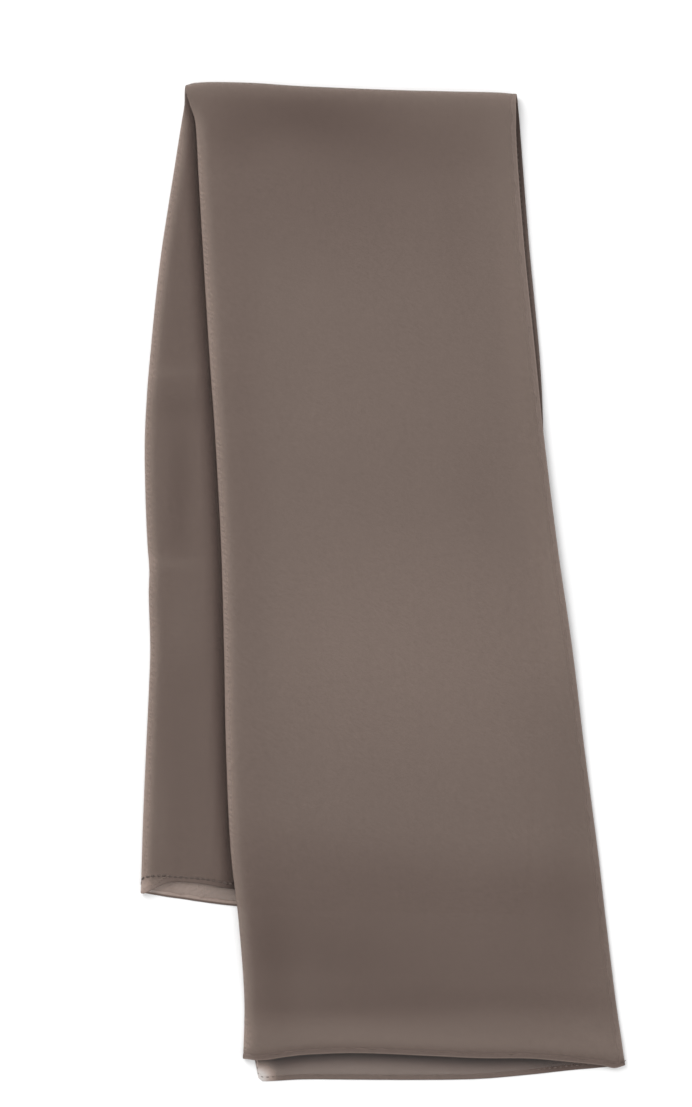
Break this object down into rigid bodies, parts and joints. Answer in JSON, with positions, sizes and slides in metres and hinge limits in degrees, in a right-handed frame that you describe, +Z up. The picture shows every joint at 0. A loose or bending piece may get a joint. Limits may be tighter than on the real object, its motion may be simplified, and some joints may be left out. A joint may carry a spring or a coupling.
{
  "type": "folded chiffon scarf",
  "caption": "Long plain sheer scarf with narrow stitched hems, folded lengthwise and then over itself, lying flat; worn round the neck or over the shoulders.",
  "frame": {"origin": "middle of the folded scarf's bounding box, on the surface that it lies on", "axes": "+Y along the length towards the crosswise fold at the top of the picture, +X towards the open long edges at the picture's right, +Z up from the surface"},
  "size_m": [0.4734, 0.9778, 0.0146],
  "materials": {
    "front_run": "sheer matte chiffon",
    "top_fold": "sheer matte chiffon",
    "back_run": "sheer matte chiffon",
    "front_foot_hem": "stitched chiffon hem",
    "back_foot_hem": "stitched chiffon hem",
    "outer_long_hem": "stitched chiffon hem",
    "inner_long_hem": "stitched chiffon hem"
  },
  "bodies": {
    "root": {"front_run": "front_run", "top_fold": "top_fold", "back_run": "back_run", "front_foot_hem": "front_foot_hem", "back_foot_hem": "back_foot_hem", "outer_long_hem": "outer_long_hem", "inner_long_hem": "inner_long_hem"}
  },
  "joints": []
}
